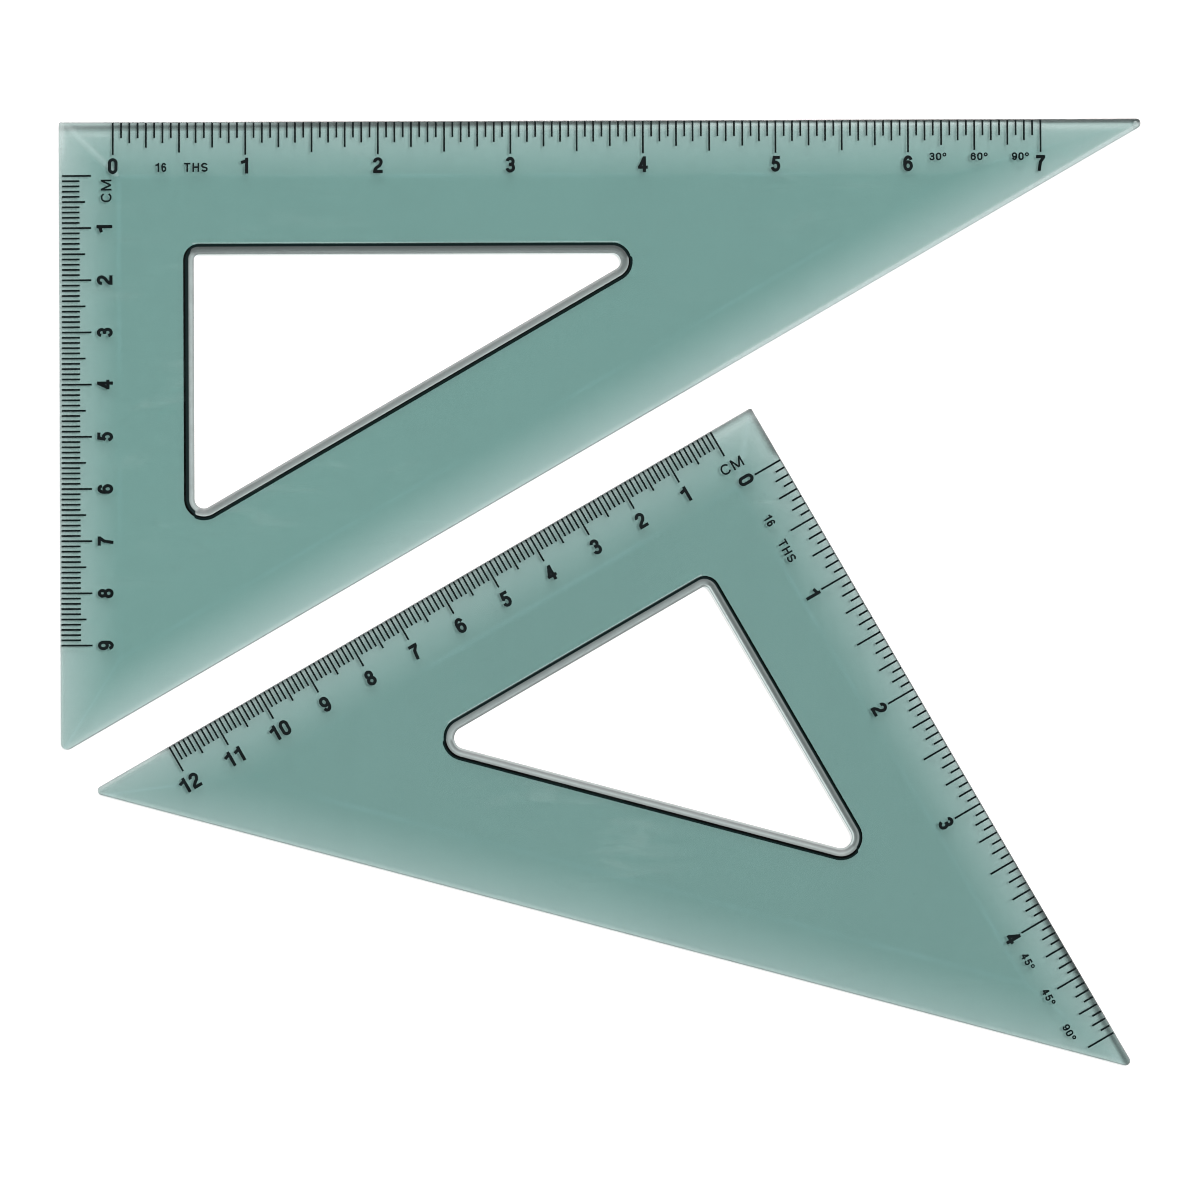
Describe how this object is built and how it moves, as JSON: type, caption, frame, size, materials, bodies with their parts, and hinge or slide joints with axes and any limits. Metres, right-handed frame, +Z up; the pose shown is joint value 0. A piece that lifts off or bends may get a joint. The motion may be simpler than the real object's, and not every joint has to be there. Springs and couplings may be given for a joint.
{
  "type": "set square",
  "caption": "Tinted transparent drafting set squares, 30/60 and 45 degree, with bevelled edges, printed inch and centimetre scales and rimmed triangular finger windows.",
  "frame": {"origin": "under the middle of the pair's box, on the table plane", "axes": "+X along the 30/60 square's long scaled leg towards its 30 degree tip, +Y towards that leg from its hypotenuse, +Z up out of the printed face"},
  "size_m": [0.2074, 0.1816, 0.002],
  "materials": {
    "tinted_plastic": "clear smoky green, glossy, moulded",
    "scale_ink": "black screen-printed ink, satin"
  },
  "bodies": {
    "set_square_30_60": {"plate_30_60": "tinted_plastic", "inch_ticks_30_60": "scale_ink", "half_inch_ticks_30_60": "scale_ink", "quarter_inch_ticks_30_60": "scale_ink", "eighth_inch_ticks_30_60": "scale_ink", "sixteenth_inch_ticks_30_60": "scale_ink", "cm_ticks_30_60": "scale_ink", "half_cm_ticks_30_60": "scale_ink", "mm_ticks_30_60": "scale_ink", "inch_numerals_30_60": "scale_ink", "cm_numerals_30_60": "scale_ink", "cm_legend_30_60": "scale_ink", "sixteenths_legend_30_60": "scale_ink", "angle_legend_30_60": "scale_ink"},
    "set_square_45": {"plate_45": "tinted_plastic", "inch_ticks_45": "scale_ink", "half_inch_ticks_45": "scale_ink", "quarter_inch_ticks_45": "scale_ink", "eighth_inch_ticks_45": "scale_ink", "sixteenth_inch_ticks_45": "scale_ink", "cm_ticks_45": "scale_ink", "half_cm_ticks_45": "scale_ink", "mm_ticks_45": "scale_ink", "inch_numerals_45": "scale_ink", "cm_numerals_45": "scale_ink", "cm_legend_45": "scale_ink", "sixteenths_legend_45": "scale_ink", "angle_legend_45": "scale_ink"}
  },
  "joints": [
    {"name": "slide_along_hypotenuse", "type": "slide", "parent": "set_square_30_60", "child": "set_square_45", "axis": [0.866, 0.5, 0], "range_m": [0, 0.094]}
  ]
}
